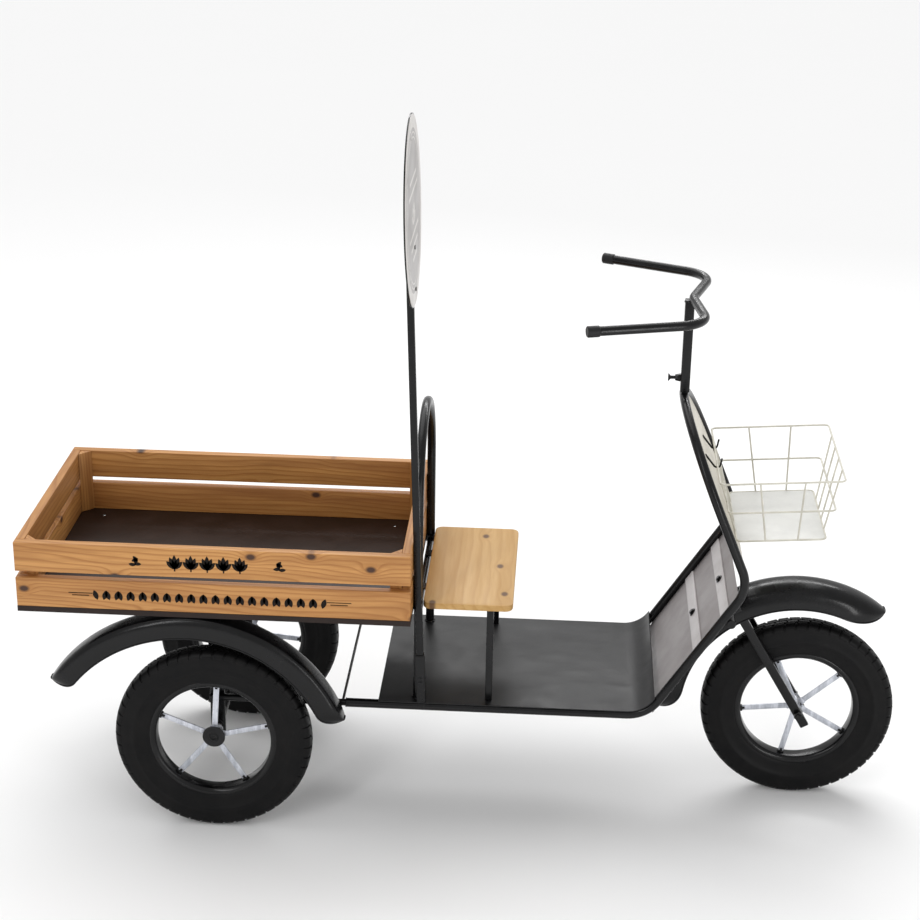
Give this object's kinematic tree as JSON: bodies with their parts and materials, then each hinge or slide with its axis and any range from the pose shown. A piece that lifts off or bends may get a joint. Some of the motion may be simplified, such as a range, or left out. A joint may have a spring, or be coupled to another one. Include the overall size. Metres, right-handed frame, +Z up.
{
  "type": "push vending cart",
  "caption": "Three-wheeled push cart shaped like a stand-on scooter, with a slatted crate, a bench seat, a wire basket and a round sign on a pole.",
  "frame": {"origin": "on the floor, at the middle of the box round the whole cart, which is 45.5 mm to the right of the cart's own middle plane because the sign stands out on that side", "axes": "+X to the front of the cart, +Y to its left side, +Z up"},
  "size_m": [1.55, 0.554, 1.2867],
  "materials": {
    "black_powder_coat": "satin black powder coat",
    "tyre_rubber": "matt moulded black rubber",
    "rim_black": "black painted steel",
    "spoke_silver": "silver-grey painted flat steel",
    "zinc_steel": "zinc plated steel",
    "crate_wood": "varnished knotty pine",
    "seat_wood": "clear varnished pine",
    "grey_sheet": "matt grey painted sheet",
    "grey_slat": "pale grey painted strip",
    "cream_panel": "cream painted sheet",
    "ivory_wire": "ivory powder coated wire",
    "sign_face": "off-white painted sheet",
    "black_plastic": "moulded black plastic",
    "tray_paint": "dark brown-black painted sheet"
  },
  "bodies": {
    "chassis": {"back_hoop": "black_powder_coat", "basket_hooks": "black_powder_coat", "corner_posts": "crate_wood", "crate_end_front": "crate_wood", "crate_end_rear": "crate_wood", "crate_screws": "zinc_steel", "crate_side_left": "crate_wood", "crate_side_right": "crate_wood", "cross_bars": "black_powder_coat", "deck_sheet": "black_powder_coat", "deck_tubes": "black_powder_coat", "fender_stays": "black_powder_coat", "fork": "black_powder_coat", "front_axle": "zinc_steel", "front_fender": "black_powder_coat", "front_panel": "cream_panel", "pole_socket": "black_powder_coat", "rear_axle": "black_powder_coat", "rear_fender_left": "black_powder_coat", "rear_fender_right": "black_powder_coat", "rear_rails": "black_powder_coat", "rear_uprights": "black_powder_coat", "seat_board": "seat_wood", "seat_front_frame": "black_powder_coat", "seat_rear_bar": "black_powder_coat", "seat_screws": "zinc_steel", "shield_bolts": "black_powder_coat", "shield_cross_tube": "black_powder_coat", "shield_loop": "black_powder_coat", "shield_sheet": "grey_sheet", "shield_slats": "grey_slat", "sign_disc": "sign_face", "sign_pole": "black_powder_coat", "sign_screws": "zinc_steel", "stem_spigot": "black_powder_coat", "tray_bearers": "black_powder_coat", "tray_clips": "black_powder_coat", "tray_pan": "tray_paint"},
    "front_wheel": {"tyre_front": "tyre_rubber", "rim_front": "rim_black", "spokes_front": "spoke_silver", "hub_front": "zinc_steel"},
    "rear_right_wheel": {"tyre_rear_right": "tyre_rubber", "rim_rear_right": "rim_black", "spokes_rear_right": "spoke_silver", "hub_rear_right": "zinc_steel", "hub_cap_right": "black_plastic"},
    "rear_left_wheel": {"tyre_rear_left": "tyre_rubber", "rim_rear_left": "rim_black", "spokes_rear_left": "spoke_silver", "hub_rear_left": "zinc_steel", "hub_cap_left": "black_plastic"},
    "handlebar_assembly": {"handlebar_stem": "black_powder_coat", "handlebar": "black_powder_coat", "grip_caps": "black_plastic", "clamp_nut": "black_powder_coat"},
    "clamp_screw": {"thumb_screw": "zinc_steel"},
    "basket": {"basket_wires": "ivory_wire", "basket_base": "ivory_wire"}
  },
  "joints": [
    {"name": "front_wheel_spin", "type": "hinge", "parent": "chassis", "child": "front_wheel", "pos_m": [0.6, 0.0455, 0.175], "axis": [0, 1, 0], "continuous": true},
    {"name": "rear_right_wheel_spin", "type": "hinge", "parent": "chassis", "child": "rear_right_wheel", "pos_m": [-0.444, -0.1545, 0.175], "axis": [0, 1, 0], "continuous": true},
    {"name": "rear_left_wheel_spin", "type": "hinge", "parent": "chassis", "child": "rear_left_wheel", "pos_m": [-0.444, 0.2455, 0.175], "axis": [0, 1, 0], "continuous": true},
    {"name": "handlebar_height", "type": "slide", "parent": "chassis", "child": "handlebar_assembly", "axis": [0, 0, 1], "range_m": [0, 0.05]},
    {"name": "clamp_screw_turn", "type": "hinge", "parent": "handlebar_assembly", "child": "clamp_screw", "pos_m": [0.345, 0.0455, 0.806], "axis": [1, 0, 0], "range_deg": [-180, 180]},
    {"name": "basket_lift_off", "type": "slide", "parent": "chassis", "child": "basket", "axis": [0, 0, 1], "range_m": [0, 0.15]}
  ]
}
